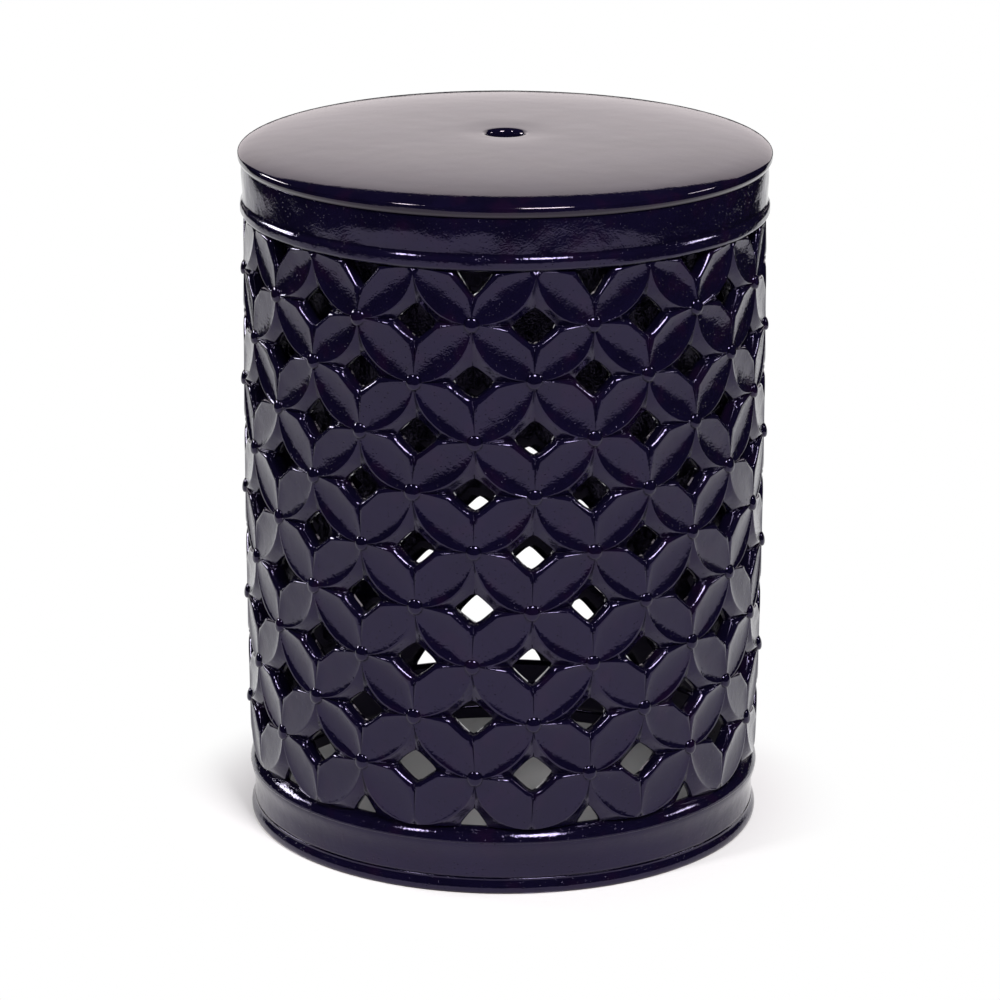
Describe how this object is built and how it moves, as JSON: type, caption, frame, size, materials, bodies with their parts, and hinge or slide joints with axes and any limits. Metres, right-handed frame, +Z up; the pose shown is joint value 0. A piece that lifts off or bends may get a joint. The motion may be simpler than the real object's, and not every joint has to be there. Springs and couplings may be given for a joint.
{
  "type": "garden stool",
  "caption": "Hollow drum garden stool in glazed ceramic, its wall pierced with interlocking coin rings and set with beads, under a round crowned seat with a finger hole.",
  "frame": {"origin": "middle of the foot, on the floor that the stool stands on", "axes": "+Z up along the drum's axis, -Y towards the column that has a bead in its first row"},
  "size_m": [0.3464, 0.3466, 0.457],
  "materials": {
    "navy_glaze": "glossy"
  },
  "bodies": {
    "root": {"foot_ring": "navy_glaze", "base_band": "navy_glaze", "lattice_drum": "navy_glaze", "collar": "navy_glaze", "seat_slab": "navy_glaze", "bead_row_1": "navy_glaze", "bead_row_2": "navy_glaze", "bead_row_3": "navy_glaze", "bead_row_4": "navy_glaze", "bead_row_5": "navy_glaze", "bead_row_6": "navy_glaze", "bead_row_7": "navy_glaze", "bead_row_8": "navy_glaze", "bead_row_9": "navy_glaze"}
  },
  "joints": []
}
